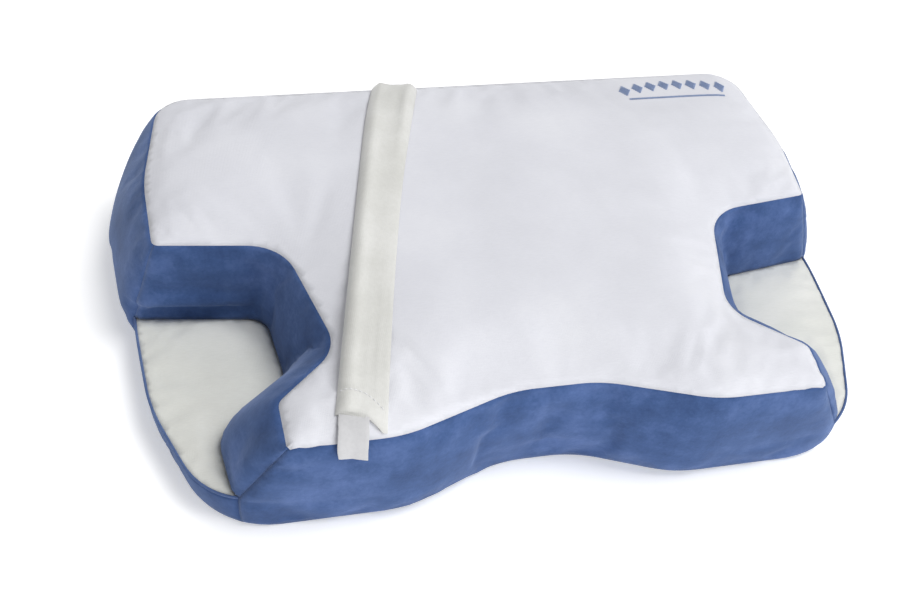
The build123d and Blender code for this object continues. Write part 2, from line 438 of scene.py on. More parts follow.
def band_rows(corner, wing):
    """Rows of the ledge band, from the recess's rear corner round to the wing."""
    first = int(np.argmin(np.linalg.norm(base_loop - foot_loop[corner], axis=1)))
    last = int(np.argmin(np.linalg.norm(base_loop - foot_loop[wing], axis=1)))
    step = 1 if (last - first) % len(base_loop) < len(base_loop) / 2 else -1
    count = (step * (last - first)) % len(base_loop)
    picked = [(first + step * k) % len(base_loop) for k in range(count + 1)]
    rows = []
    for r in range(LOWER_ROWS + 1):
        below = r / LOWER_ROWS
        flat = base_loop[picked] - base_out[picked] * (EDGE_ROLL * below ** 2.5)
        row = np.column_stack((flat, np.full(len(flat), LEDGE * (1 - below))))
        fade = np.exp(-np.arange(len(row)) * GRID / 14)[:, None]
        fade[fade < 0.01] = 0
        to_corner = (ring[UPPER_ROWS + r, corner] - row[0]) * fade
        to_wing = (ring[UPPER_ROWS + r, wing] - row[-1]) * fade[::-1]
        row += to_corner + to_wing
        rows.append(row)
    return np.array(rows)


bands = {
    "right": band_rows(right_corner, right_wing),
    "left": band_rows(left_corner, left_wing),
}


# --- simulation and finishing of fabric
FRAMES = 18
FABRIC = {            # how the fabric behaves while it is blown out
    "quality": 6,
    "mass": 0.25,
    "tension_stiffness": 18,
    "compression_stiffness": 18,
    "shear_stiffness": 6,
    "use_pressure": True,
    "vertex_group_mass": "sewn",
}
simulated = []


def cloth(obj, pinned, pressure, slack, bend, cap):
    """Set up a panel to be blown out softly from its sewn edges."""
    group = obj.vertex_groups.new(name="sewn")
    group.add(pinned, 1.0, "REPLACE")
    mod = obj.modifiers.new("Cloth", "CLOTH")
    for key, value in FABRIC.items():
        setattr(mod.settings, key, value)
    mod.settings.bending_stiffness = bend
    mod.settings.uniform_pressure_force = pressure
    mod.settings.shrink_min = -slack
    mod.settings.shrink_max = -slack
    mod.settings.effector_weights.gravity = 0
    mod.collision_settings.use_collision = False
    mod.point_cache.frame_end = FRAMES
    simulated.append((obj, cap))


def run_simulation():
    """Run every panel's cloth together and keep each result, with its movement capped."""
    scene = bpy.context.scene
    rest = {obj.name: coordinates(obj) for obj, _ in simulated}
    for f in range(1, FRAMES + 1):
        scene.frame_set(f)
    for obj, cap in simulated:
        depsgraph = bpy.context.evaluated_depsgraph_get()
        moved = coordinates(obj.evaluated_get(depsgraph)) - rest[obj.name]
        size = np.linalg.norm(moved, axis=1)
        share = np.where(size > 1e-6, cap * np.tanh(size / cap) / np.maximum(size, 1e-6), 0)
        obj.modifiers.clear()
        set_coordinates(obj, rest[obj.name] + moved * share[:, None])
    scene.frame_set(1)


def coordinates(obj):
    """A mesh's points in millimetres."""
    co = np.empty(len(obj.data.vertices) * 3)
    obj.data.vertices.foreach_get("co", co)
    return co.reshape(-1, 3) / MM


def set_coordinates(obj, points):
    obj.data.vertices.foreach_set("co", (np.asarray(points) * MM).ravel())
    obj.data.update()


def finished(obj, thickness=CLOTH_T):
    """Give a panel its thickness, inward, and apply it."""
    mod = obj.modifiers.new("Solidify", "SOLIDIFY")
    mod.thickness = thickness * MM
    mod.offset = -1
    apply_modifiers(obj)
    return obj


def apply_modifiers(obj):
    depsgraph = bpy.context.evaluated_depsgraph_get()
    mesh = bpy.data.meshes.new_from_object(obj.evaluated_get(depsgraph))
    obj.modifiers.clear()
    obj.data = mesh


def surface(*objects):
    """Ray target made of several meshes, in millimetres."""
    points, faces = [], []
    for obj in objects:
        start = len(points)
        points += [tuple(p) for p in coordinates(obj)]
        faces += [[start + v for v in f.vertices] for f in obj.data.polygons]
    return BVHTree.FromPolygons(points, faces)


def declare(obj, body, nodes):
    """Attach a finished piece to the body it rides on, and hide the model parts it stands for."""
    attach(obj, body)
    if nodes:
        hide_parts(*nodes)
    return obj


# --- materials
class Nodes:
    """Small helper that writes a procedural material."""

    def __init__(self, name):
        self.material = bpy.data.materials.new(name)
        self.material.use_nodes = True
        self.tree = self.material.node_tree
        self.shader = self.tree.nodes["Principled BSDF"]
        self.place = self.tree.nodes.new("ShaderNodeTexCoord").outputs["Object"]

    def new(self, kind, **values):
        node = self.tree.nodes.new(kind)
        for key, value in values.items():
            setattr(node, key, value)
        return node

    def link(self, source, target):
        self.tree.links.new(source, target)

    def noise(self, scale, detail=3.0, stretch=(1, 1, 1), roughness=0.5):
        mapping = self.new("ShaderNodeMapping")
        mapping.inputs["Scale"].default_value = stretch
        self.link(self.place, mapping.inputs["Vector"])
        node = self.new("ShaderNodeTexNoise")
        node.inputs["Scale"].default_value = scale
        node.inputs["Detail"].default_value = detail
        node.inputs["Roughness"].default_value = roughness
        self.link(mapping.outputs[0], node.inputs["Vector"])
        return node.outputs["Fac"]

    def wave(self, scale, direction, distortion=0.6):
        node = self.new("ShaderNodeTexWave", bands_direction=direction)
        node.inputs["Scale"].default_value = scale
        node.inputs["Distortion"].default_value = distortion
        node.inputs["Detail Scale"].default_value = 3
        self.link(self.place, node.inputs["Vector"])
        return node.outputs["Fac"]

    def cells(self, scale):
        node = self.new("ShaderNodeTexVoronoi", feature="F1")
        node.inputs["Scale"].default_value = scale
        self.link(self.place, node.inputs["Vector"])
        return node.outputs["Distance"]

    def combine(self, operation, a, b):
        node = self.new("ShaderNodeMath", operation=operation)
        for socket, value in zip(node.inputs, (a, b)):
            if isinstance(value, (int, float)):
                socket.default_value = value
            else:
                self.link(value, socket)
        return node.outputs[0]

    def weighted(self, *parts):
        """Sum of (texture, weight) pairs."""
        total = None
        for texture, weight in parts:
            part = self.combine("MULTIPLY", texture, weight)
            total = part if total is None else self.combine("ADD", total, part)
        return total

    def varied(self, texture, spread, base):
        """A value that rises from base by up to spread with a texture."""
        return self.combine("ADD", self.combine("MULTIPLY", texture, spread), base)

    def ramp(self, factor, stops):
        """Colour ramp given as (position, colour) pairs."""
        node = self.new("ShaderNodeValToRGB")
        ramp = node.color_ramp
        while len(ramp.elements) < len(stops):
            ramp.elements.new(0.5)
        for element, (position, colour) in zip(ramp.elements, stops):
            element.position = position
            element.color = (*linear(colour), 1)
        self.link(factor, node.inputs["Fac"])
        return node.outputs["Color"]

    def bump(self, heights):
        """Chain of bumps: (height, strength, distance in millimetres)."""
        previous = None
        for height, strength, distance in heights:
            node = self.new("ShaderNodeBump")
            node.inputs["Strength"].default_value = strength
            node.inputs["Distance"].default_value = distance * MM
            self.link(height, node.inputs["Height"])
            if previous:
                self.link(previous, node.inputs["Normal"])
            previous = node.outputs["Normal"]
        self.link(previous, self.shader.inputs["Normal"])

    def finish(self, colour, roughness, **sockets):
        self.link(colour, self.shader.inputs["Base Color"])
        if isinstance(roughness, (int, float)):
            self.shader.inputs["Roughness"].default_value = roughness
        else:
            self.link(roughness, self.shader.inputs["Roughness"])
        for key, value in sockets.items():
            self.shader.inputs[key.replace("_", " ")].default_value = value
        return self.material


def linear(colour):
    """Linear light of an sRGB hex colour."""
    parts = [int(colour[i:i + 2], 16) / 255 for i in (0, 2, 4)]
    return [c / 12.92 if c <= 0.04045 else ((c + 0.055) / 1.055) ** 2.4 for c in parts]


def cotton(name, dark, mid, light):
    """Plain woven cotton: crossed threads, slubs and faint clouding."""
    n = Nodes(name)
    clouds = n.noise(14, 4)
    slubs = n.noise(260, 2, (1, 6, 1))
    tone = n.weighted((clouds, 0.75), (slubs, 0.25))
    colour = n.ramp(tone, [(0.30, dark), (0.50, mid), (0.68, light)])
    weave = n.combine("MAXIMUM", n.wave(320, "X"), n.wave(320, "Y"))
    rough = n.varied(slubs, 0.2, 0.72)
    n.bump([(n.noise(45, 3), 0.25, 1.2), (slubs, 0.2, 0.3), (weave, 0.35, 0.16)])
    return n.finish(colour, rough, Sheen_Weight=0.25, Sheen_Roughness=0.5, Specular_IOR_Level=0.25)


def velour(name, dark, mid, light):
    """Short pile that shades in soft patches where it has been stroked."""
    n = Nodes(name)
    patches = n.noise(22, 6, (1, 1, 1.5), 0.62)
    pile = n.noise(420, 3, roughness=0.7)
    streaks = n.noise(70, 3, (1, 1, 0.25))
    tone = n.weighted((patches, 0.62), (streaks, 0.22), (pile, 0.16))
    colour = n.ramp(tone, [(0.27, dark), (0.50, mid), (0.73, light)])
    rough = n.varied(patches, 0.2, 0.7)
    n.bump([(streaks, 0.3, 0.9), (pile, 0.45, 0.35)])
    n.shader.inputs["Sheen Tint"].default_value = (*linear("b9c8e6"), 1)
    return n.finish(colour, rough, Sheen_Weight=0.4, Sheen_Roughness=0.5, Specular_IOR_Level=0.06)


def ribbed(name, dark, light, ribs, direction, bump_mm=0.3):
    """Webbing or tape with ribs across it."""
    n = Nodes(name)
    rib = n.wave(ribs, direction, 0.3)
    grain = n.noise(500, 2)
    tone = n.weighted((rib, 0.5), (grain, 0.5))
    colour = n.ramp(tone, [(0.2, dark), (0.7, light)])
    n.bump([(rib, 0.5, bump_mm), (grain, 0.3, 0.15)])
    return n.finish(colour, n.varied(grain, 0.15, 0.6), Sheen_Weight=0.15)


def brushed_knit(name, dark, mid, light):
    """Soft brushed knit: fuzzy surface over fine wales."""
    n = Nodes(name)
    fuzz = n.noise(380, 4, roughness=0.7)
    clouds = n.noise(22, 4)
    wales = n.wave(260, "X", 1.2)
    tone = n.weighted((clouds, 0.7), (fuzz, 0.3))
    colour = n.ramp(tone, [(0.32, dark), (0.50, mid), (0.66, light)])
    n.bump([(n.noise(60, 3), 0.3, 0.9), (wales, 0.2, 0.15), (fuzz, 0.4, 0.25)])
    rough = n.varied(fuzz, 0.2, 0.75)
    return n.finish(colour, rough, Sheen_Weight=0.4, Sheen_Roughness=0.5, Specular_IOR_Level=0.2)


def foam(name, dark, light, scale):
    """Open-cell foam or fibre wadding."""
    n = Nodes(name)
    pores = n.cells(scale)
    clouds = n.noise(18, 3)
    tone = n.weighted((pores, 0.5), (clouds, 0.5))
    colour = n.ramp(tone, [(0.25, dark), (0.6, light)])
    n.bump([(clouds, 0.2, 1.0), (pores, 0.5, 0.5)])
    return n.finish(colour, n.varied(pores, 0.1, 0.85))


def nickel(name):
    """Worn plated zipper metal."""
    n = Nodes(name)
    wear = n.noise(900, 4)
    colour = n.ramp(wear, [(0.35, "7d8084"), (0.6, "c3c5c8")])
    n.bump([(wear, 0.15, 0.05)])
    return n.finish(colour, n.varied(wear, 0.25, 0.2), Metallic=0.95)


def satin_thread(name, dark, light):
    """Embroidery and sewing thread, shaded along each stitch."""
    n = Nodes(name)
    twist = n.wave(900, "DIAGONAL", 0.4)
    tone = n.weighted((twist, 0.5), (n.noise(300, 2), 0.5))
    colour = n.ramp(tone, [(0.25, dark), (0.7, light)])
    n.bump([(twist, 0.4, 0.1)])
    return n.finish(colour, n.varied(twist, 0.15, 0.38), Sheen_Weight=0.3)


FINISHES = {
    "white_cotton": (cotton, "d9dae1", "e0e1e8", "e6e7ed"),
    "ledge_cotton": (cotton, "dbdbd5", "e4e5df", "ecece7"),
    "blue_velour": (velour, "273c65", "425b8b", "637bb1"),
    "blue_piping": (velour, "3b4e77", "566b97", "7085b0"),
    "tether_knit": (brushed_knit, "ccccc7", "d6d6d2", "dfdfdc"),
    "webbing": (ribbed, "c6c6c8", "d5d5d7", 700, "X", 0.15),
    "hook_and_loop": (foam, "c9cacc", "ededee", 900),
    "zipper_tape": (ribbed, "40557f", "5a72a3", 500, "Z", 0.15),
    "zipper_coil": (ribbed, "3d5078", "7186b1", 300, "X", 0.1),
    "zipper_metal": (nickel,),
    "foam": (foam, "e8dfc4", "f6f0dd", 420),
    "fibre": (foam, "e6e7e9", "fafafa", 260),
    "thread": (satin_thread, "7f97c4", "aebfe0"),
    "white_thread": (satin_thread, "d5d6da", "f3f3f5"),
}
MATERIALS = {name: make(name, *values) for name, (make, *values) in FINISHES.items()}
for node in NODES.values():
    node.data.materials.clear()


# --- cover panels
PULL = {              # each wall's pressure, slack and largest movement while it is blown out
    "front_gusset": (3.0, 0.016, 3.0),
    "side_gusset": (3.0, 0.014, 2.5),
    "recess_wall": (2.5, 0.014, 2.0),
    "ledge_band": (2.0, 0.006, 0.8),
    "back_gusset": (3.0, 0.014, 2.0),
}


def wall_panel(name, rows, kind):
    """Velour panel from rows of points, sewn along its whole border."""
    high, wide = rows.shape[:2]
    faces = grid_faces(high, wide)
    obj = new_object(f"{name}_velour", rows.reshape(-1, 3), faces, MATERIALS["blue_velour"])
    edge_rows, edge_columns = (0, high - 1), (0, wide - 1)
    border = [
        r * wide + c
        for r in range(high)
        for c in range(wide)
        if r in edge_rows or c in edge_columns
    ]
    pressure, slack, cap = PULL[kind]
    cloth(obj, border, pressure, slack, 0.4, cap)
    return obj


def panel_rows(run, low=LOWER_ROWS):
    """The wall's points over a run of the loop, down to a row below the ledge."""
    return ring[: UPPER_ROWS + 1 + low][:, run]


def top_panel():
    """Domed white cotton inside the top seam, with a slight wander in its surface."""
    points, faces = filled(seam_loop, GRID)
    z = top_height(points)
    z[:N] = seam_z
    wander = np.sin(points[:, 0] / 17 + 2.1 * np.sin(points[:, 1] / 43)) * np.sin(points[:, 1] / 31 + 0.7)
    inner = np.minimum(edge_distance(points, seam_loop) / 30, 1)
    z += 0.35 * wander * inner
    obj = new_object("top_panel_cotton", np.column_stack((points, z)), faces, MATERIALS["white_cotton"])
    cloth(obj, list(range(N)), 1.6, 0.012, 0.6, 4.0)
    return obj


def ledge_panel(side, run):
    """Flat cotton in the recess, between the recess wall and the ledge's outer edge."""
    inner = ring[UPPER_ROWS, run][:, :2]
    outer = bands[side][0][:, :2]
    loop = np.concatenate((outer, inner[::-1][1:-1]))
    if side == "left":
        loop = loop[::-1]
    points, faces = filled(loop, GRID)
    d = edge_distance(points, loop)
    z = LEDGE + 2.2 * (1 - np.exp(-d / 12))
    z[: len(loop)] = LEDGE
    obj = new_object(f"{side}_ledge_cotton", np.column_stack((points, z)), faces, MATERIALS["ledge_cotton"])
    cloth(obj, list(range(len(loop))), 2.0, 0.015, 0.5, 2.5)
    return obj


def bottom_loop():
    """The bottom edge, all the way round."""
    last = ring[-1]
    parts = [
        last[RUNS["right_side_gusset"]][:-1],
        bands["right"][-1][:-1],
        last[RUNS["front_gusset"]][:-1],
        bands["left"][-1][::-1][:-1],
        last[RUNS["left_side_gusset"]][:-1],
        last[RUNS["back_gusset"]][:-1],
    ]
    return np.concatenate(parts)


def bottom_panel():
    """Flat cotton under the base, its edge hidden inside the walls' thickness."""
    loop = bottom_loop()[:, :2]
    loop = loop - outward(loop) * BOTTOM_INSET
    points, faces = filled(loop, 6.0)
    d = edge_distance(points, loop)
    z = 0.6 * np.exp(-d / 6)
    faces = [tuple(reversed(f)) for f in faces]
    return new_object("bottom_panel_cotton", np.column_stack((points, z)), faces, MATERIALS["ledge_cotton"])


TAPE_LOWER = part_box("zipper_tape_lower")
TAPE_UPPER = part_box("zipper_tape_upper")
ZIP_LOW = TAPE_LOWER[0].z / MM
ZIP_HIGH = TAPE_UPPER[1].z / MM
ZIP_HALF = TAPE_UPPER[1].x / MM
ZIP_MID = (ZIP_LOW + ZIP_HIGH) / 2
BACK_ROWS = 13        # rows of fabric in each half of the back gusset


def zip_line(height):
    """The back wall's line at a height, where the zipper is sewn in."""
    share = (height - ZIP_LOW) / (ZIP_HIGH - ZIP_LOW)
    return (TAPE_LOWER[1].y + (TAPE_UPPER[1].y - TAPE_LOWER[1].y) * share) / MM


def back_panels():
    """Upper and lower halves of the back gusset, with the zipper's opening between them."""
    run = RUNS["back_gusset"]
    whole_wall = panel_rows(run)
    halves = {}
    for part, edge_z in (("upper", ZIP_HIGH), ("lower", ZIP_LOW)):
        columns = []
        for c in range(len(run)):
            line = whole_wall[:, c]
            x = line[0, 0]
            gap = 1 / (1 + math.exp((abs(x) - ZIP_HALF - 2) / 0.8))
            z = ZIP_MID + (edge_z - ZIP_MID) * gap
            keep = line[line[:, 2] > z + 2] if part == "upper" else line[line[:, 2] < z - 2]
            at = np.interp(z, line[::-1, 2], line[::-1, 1])
            x_at = np.interp(z, line[::-1, 2], line[::-1, 0])
            edge = np.array((x_at, zip_line(z) * gap + at * (1 - gap), z))
            line = np.vstack((keep, edge)) if part == "upper" else np.vstack((edge, keep))
            columns.append(resampled(line, BACK_ROWS))
        rows = np.array(columns).transpose(1, 0, 2)
        halves[part] = wall_panel(f"back_gusset_{part}", rows, "back_gusset")
    return halves


def tube(name, path, radius, material, sides=8):
    """Round piece along a path of points, in millimetres."""
    along = np.gradient(path, axis=0)
    along /= np.linalg.norm(along, axis=1)[:, None]
    up = np.array((0, 0, 1.0))
    side = np.cross(along, up)
    side /= np.maximum(np.linalg.norm(side, axis=1), 1e-9)[:, None]
    other = np.cross(side, along)
    points = []
    for k in range(sides):
        a = 2 * math.pi * k / sides
        points.append(path + (side * math.cos(a) + other * math.sin(a)) * radius)
    points = np.array(points).transpose(1, 0, 2).reshape(-1, 3)
    return closed_object(name, points, barrel_faces(len(path), sides), material)


motif_low, motif_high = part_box("corner_embroidery")
MOTIF_X = (motif_low.x + motif_high.x) / 2 / MM
MOTIF_COUNT = 8       # lozenges in the row
MOTIF_STEP = 11.5
MOTIF_HALF_W = 4.6
MOTIF_HALF_H = 8.0
MOTIF_ARCH = 0.45     # how much the row curves
BAR_HALF_W = 0.9      # half the width of the stitched line beside the row
BAR_Y = motif_low.y / MM + BAR_HALF_W
MOTIF_Y = BAR_Y + 18.0
THREAD_PITCH = 0.9


def calm_under_embroidery(obj):
    """Embroidery stiffens the cloth, so the top lies smoother under it."""
    points = coordinates(obj)
    calm = top_height(points[:, :2])
    reach_x = MOTIF_STEP * (MOTIF_COUNT - 1) / 2 + 16
    reach_y = (MOTIF_Y - BAR_Y) / 2 + 14
    aside = (points[:, 0] - MOTIF_X) / reach_x
    ahead = (points[:, 1] - (MOTIF_Y + BAR_Y) / 2) / reach_y
    weight = np.exp(-aside ** 4 - ahead ** 4)
    raised = np.average(points[:, 2] - calm, weights=weight)
    moved = 0.85 * weight * (calm + raised - points[:, 2])
    moved[:N] = 0
    points[:, 2] += moved
    set_coordinates(obj, points)


top = top_panel()
walls = {"front_gusset": wall_panel("front_gusset", panel_rows(RUNS["front_gusset"]), "front_gusset")}
for side in ("right", "left"):
    gusset, recess, ledge_band = f"{side}_side_gusset", f"{side}_recess_wall", f"{side}_ledge_band"
    walls[gusset] = wall_panel(gusset, panel_rows(RUNS[gusset]), "side_gusset")
    walls[recess] = wall_panel(recess, panel_rows(RUNS[recess], 0), "recess_wall")
    band = bands[side] if side == "right" else bands[side][:, ::-1]
    walls[ledge_band] = wall_panel(ledge_band, band, "ledge_band")
halves = back_panels()
ledges = {
    "right": ledge_panel("right", RUNS["right_recess_wall"]),
    "left": ledge_panel("left", RUNS["left_recess_wall"][::-1]),
}
bottom = bottom_panel()
if simulated:
    run_simulation()
calm_under_embroidery(top)

top_ray = surface(top)
cover_ray = surface(top, walls["front_gusset"], halves["upper"], halves["lower"])

finished(top)
declare(top, "root", ["top_panel"])
for name, obj in walls.items():
    finished(obj)
    declare(obj, "root", [name])
for part, obj in halves.items():
    finished(obj)
    declare(obj, "root", [f"back_gusset_{part}"])
for side, obj in ledges.items():
    finished(obj)
    declare(obj, "root", [f"{side}_ledge_panel"])
    edge = bands[side][0] + np.array((0, 0, 0.2))
    welt = tube(f"{side}_ledge_welt", edge, WELT_RADIUS, "blue_piping")
    declare(welt, "root", [f"{side}_ledge_piping"])
finished(bottom)
declare(bottom, "root", ["bottom_panel"])


# --- foam inside the cover
CAP_GRID = 12.0       # spacing of the triangles over a foam block's ends


def closed_stack(name, loops, heights, material, top_heights=None):
    """Closed solid through loops at given heights, capped at both ends."""
    count = len(loops[0])
    low_points, low_faces = filled(loops[0], CAP_GRID)
    low_z = float(np.mean(heights[0]))
    points = [(*p, low_z) for p in low_points]
    faces = [tuple(reversed(f)) for f in low_faces]
    previous = list(range(count))
    for loop, height in zip(loops[1:-1], heights[1:-1]):
        here = list(range(len(points), len(points) + count))
        points += [(*p, h) for p, h in zip(loop, np.broadcast_to(height, count))]
        faces += ring_faces(previous, here)
        previous = here
    top_points, top_faces = filled(loops[-1], CAP_GRID)
    top_z = np.full(len(top_points), float(np.mean(heights[-1])))
    if top_heights:
        top_z = top_heights(top_points)
    start = len(points)
    points += [(*p, h) for p, h in zip(top_points, top_z)]
    faces += ring_faces(previous, list(range(start, start + count)))
    faces += [tuple(start + v for v in f) for f in top_faces]
    return closed_object(name, points, faces, material)


def ring_faces(lower, upper):
    count = len(lower)
    return [(lower[i], lower[(i + 1) % count], upper[(i + 1) % count], upper[i]) for i in range(count)]


def block_loop(z, depth):
    """The upper block's outline at a height, moved inward."""
    share = ((seam_z - z) / (seam_z - LEDGE))[:, None]
    return seam_loop + (foot_loop - seam_loop) * share - (seam_out + foot_out) / 2 * depth


def foam_slab(name, node, low, high, outline_at, depth):
    """Cut slab with softened edges."""
    edge = 1.5
    steps = [(low, depth + edge), (low + edge / 3, depth + edge / 3), (low + edge, depth),
             (high - edge, depth), (high - edge / 3, depth + edge / 3), (high, depth + edge)]
    obj = closed_stack(name, [outline_at(z, d) for z, d in steps], [z for z, _ in steps], "foam")
    return declare(obj, "root", [node])


def base_outline(z, depth):
    return base_loop - base_out * depth


foam_slab("base_foam_slab", "base_foam", 3.5, LEDGE - 3.5, base_outline, 6.5)
for part in ("lower", "upper"):
    node = f"height_layer_{part}"
    low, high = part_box(node)
    foam_slab(f"{part}_height_layer", node, low.z / MM + 0.2, high.z / MM - 0.2, block_loop, 4.5)

CORE_DROP = 12.0       # from the top panel down to the core foam
core_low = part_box("core_foam")[0].z / MM + 0.2
core_edge = seam_z - CORE_DROP
core = closed_stack(
    "contour_core_foam",
    [block_loop(core_low, 6.0), block_loop(core_low + 1, 4.5), block_loop(core_edge - 4, 4.5),
     block_loop(core_edge - 1, 6.0), block_loop(core_edge, 9.0)],
    [core_low, core_low + 1, core_edge - 4, core_edge - 1, core_edge],
    "foam",
    lambda p: top_height(p) - CORE_DROP - 3,
)
declare(core, "root", ["core_foam"])
pad = closed_stack(
    "fibre_pad",
    [block_loop(core_edge + 2, 9.5), block_loop(core_edge + 3, 6.5), block_loop(seam_z - 3, 6.5),
     block_loop(seam_z - 2, 9.0)],
    [core_edge + 2, core_edge + 3, seam_z - 3, seam_z - 2],
    "fibre",
    lambda p: top_height(p) - 4.5,
)
declare(pad, "root", ["top_fibre_pad"])


# --- tether strap
STRAP_HALF_BACK = 18.0
STRAP_HALF_FRONT = 15.5
STRAP_BACK = (-56.0, 132.0)      # the strap's middle line passes here
STRAP_FRONT = (-120.0, -141.0)   # and here
STRAP_BOW = 2.5                  # and bows this far to the left between them
STRAP_END = -149.5
STRAP_LIFT = 0.5
ANCHOR_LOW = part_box("tether_anchor")[0].z / MM


def strap_middle(y):
    share = (STRAP_BACK[1] - y) / (STRAP_BACK[1] - STRAP_FRONT[1])
    bow = 4 * STRAP_BOW * share * (1 - share)
    return STRAP_BACK[0] + (STRAP_FRONT[0] - STRAP_BACK[0]) * share - bow


def strap_half(y):
    share = np.clip((STRAP_BACK[1] - y) / 120, 0, 1)
    return STRAP_HALF_BACK + (STRAP_HALF_FRONT - STRAP_HALF_BACK) * share * share * (3 - 2 * share)


def ray_down(ray, x, y):
    return ray.ray_cast(Vector((x, y, 300)), Vector((0, 0, -1)))[0]


def ray_along(ray, x, z, direction):
    return ray.ray_cast(Vector((x, -400 * direction, z)), Vector((0, direction, 0)))[0]


def hull(points):
    """Taut line over a chain of points that runs towards -Y."""
    chain = []
    for p in points:
        while len(chain) > 1:
            a, b = chain[-1] - chain[-2], p - chain[-1]
            if -a[1] * b[2] + b[1] * a[2] <= 0:
                break
            chain.pop()
        chain.append(p)
    return np.array(chain)


def softened(line, rounds):
    """Round off a line's corners and keep its ends."""
    line = line.copy()
    for _ in range(rounds):
        line[1:-1] = (line[:-2] + 2 * line[1:-1] + line[2:]) / 4
    return line


def laid(lines, thickness, lift):
    """Closed band over lines of points: lines[j] runs along, thickness is by (line, station)."""
    grid = np.array(lines)
    along = np.gradient(grid, axis=1)
    across = np.gradient(grid, axis=0)
    normal = np.cross(across, along)
    normal /= np.linalg.norm(normal, axis=2)[:, :, None]
    if normal[:, :, 2].sum() < 0:
        normal = -normal
    lift = np.broadcast_to(lift, thickness.shape)
    low = grid + normal * lift[:, :, None]
    high = grid + normal * (lift + thickness)[:, :, None]
    wide, long = grid.shape[:2]
    section = np.concatenate((high, low[::-1]))
    points = section.transpose(1, 0, 2).reshape(-1, 3)
    return points, barrel_faces(long, 2 * wide)


ACROSS = 21           # points across the strap, and stations along it
STATIONS = 110
ROOT_T = 2.2          # thickness at the sewn root, then of the padding
PADDING = 5.0
RIDGE = 3.0           # how proud the left edge stands
BACK_RIDGE = 2.2      # and the right edge, near the back
FLATTENED = 3.6       # how much thinner the right edge is towards the front
HEM_AT = 0.955        # share of the strap's length where the hem is stitched
STITCH_PITCH = 3.2
STITCH_R = 0.32


def tether():
    """Padded strap, from its root on the back wall to its hemmed end."""
    spread = -np.cos(np.linspace(0, math.pi, ACROSS))
    lines = []
    for s in spread:
        x_back = strap_middle(152.0) + s * strap_half(152.0)
        chain = [ray_along(cover_ray, x_back, z, -1) for z in np.arange(ANCHOR_LOW, SEAM_BACK, 4.0)]
        end = STRAP_END - 1.5 * (s + 1) - 10.0 * min(max(0.0, s + 0.1), 0.9) ** 1.2
        ys = np.linspace(148.0, end, 76)
        chain += [ray_down(top_ray, strap_middle(y) + s * strap_half(y), y) for y in ys]
        chain = [np.array(p) for p in chain if p is not None]
        lines.append(softened(resampled(hull(chain), STATIONS), 6))
    t = np.linspace(0, 1, STATIONS)[None, :]
    s = spread[:, None]
    # a thin sewn root, then soft padding with a proud left edge, fading out to the right
    body = np.clip((t - 0.02) / 0.10, 0, 1)
    body = body * body * (3 - 2 * body)
    back = np.exp(-((t - 0.2) / 0.16) ** 2)
    edge = (1 - np.abs(s) ** 5) ** 0.6
    height = PADDING + RIDGE * np.exp(-((s + 0.62) / 0.32) ** 2)
    height = height + back * BACK_RIDGE * np.exp(-((s - 0.66) / 0.26) ** 2)
    height = height - (1 - back) * FLATTENED * np.clip((s + 0.3) / 1.3, 0, 1)
    hem = 1 - 0.35 * np.exp(-((t - 1) / 0.006) ** 2) - 0.35 * np.exp(-((t - HEM_AT) / 0.007) ** 2)
    ripple = 1 + 0.05 * np.sin(23 * t + 3 * s) * np.sin(61 * t)
    thickness = (ROOT_T + (height - ROOT_T) * body) * edge * hem * ripple + 0.05
    points, faces = laid(lines, thickness, STRAP_LIFT)
    surface_of_strap = points.reshape(STATIONS, 2 * ACROSS, 3)[:, :ACROSS]
    obj = closed_object("tether_strap_knit", points, faces, "tether_knit")
    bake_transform(obj)
    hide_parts("tether_sleeve", "tether_padding", "tether_anchor")
    return surface_of_strap


def stitch_line(line, points, faces):
    """Short raised stitches along a line on the strap."""
    for k in range(int(lengths_along(line)[-1] / STITCH_PITCH)):
        ends = (np.array((0.12, 0.5, 0.88)) + k) * STITCH_PITCH
        middle = at_lengths(line, ends)
        middle[1] += np.array((0, 0, 0.25)) + STITCH_R * 0.4
        along = (middle[2] - middle[0]) / np.linalg.norm(middle[2] - middle[0])
        side = np.cross(along, (0.0, -0.3, 1.0))
        side /= np.linalg.norm(side)
        over = np.cross(side, along)
        start = len(points)
        for p, r in zip(middle, (0.55, 1.0, 0.55)):
            for a in np.linspace(0, 2 * math.pi, 6, endpoint=False):
                points.append(p + (side * math.cos(a) + over * math.sin(a)) * STITCH_R * r)
        faces += barrel_faces(3, 6, start)


def stitching(name, body, lines):
    """Rows of stitches as one piece that rides on a body."""
    points, faces = [], []
    for line in lines:
        stitch_line(line, points, faces)
    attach(closed_object(name, points, faces, "white_thread"), body)


strap_surface = tether()
stitching("tether_hem_stitches", "tether_strap", [strap_surface[int(STATIONS * HEM_AT), 3:-3]])
stitching("tether_anchor_stitches", "root", [strap_surface[2, 3:-3], strap_surface[7, 3:-3]])


# --- closing tab on the front
tab_low, tab_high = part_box("tether_tab")
TAB_X0, TAB_X1 = tab_low.x / MM, tab_high.x / MM
TAB_LOW_Z = tab_low.z / MM
TAB_T = 1.4
TAB_STATIONS = 40
PATCH_T = 0.8
TAB_LAYERS = 2.0       # loop and hook patches between the wall and the tab
TAB_SHIFT = 3.0        # how far to the right the tab leaves the strap's hem
TAB_SLANT = 3.5        # its left edge ends this much higher


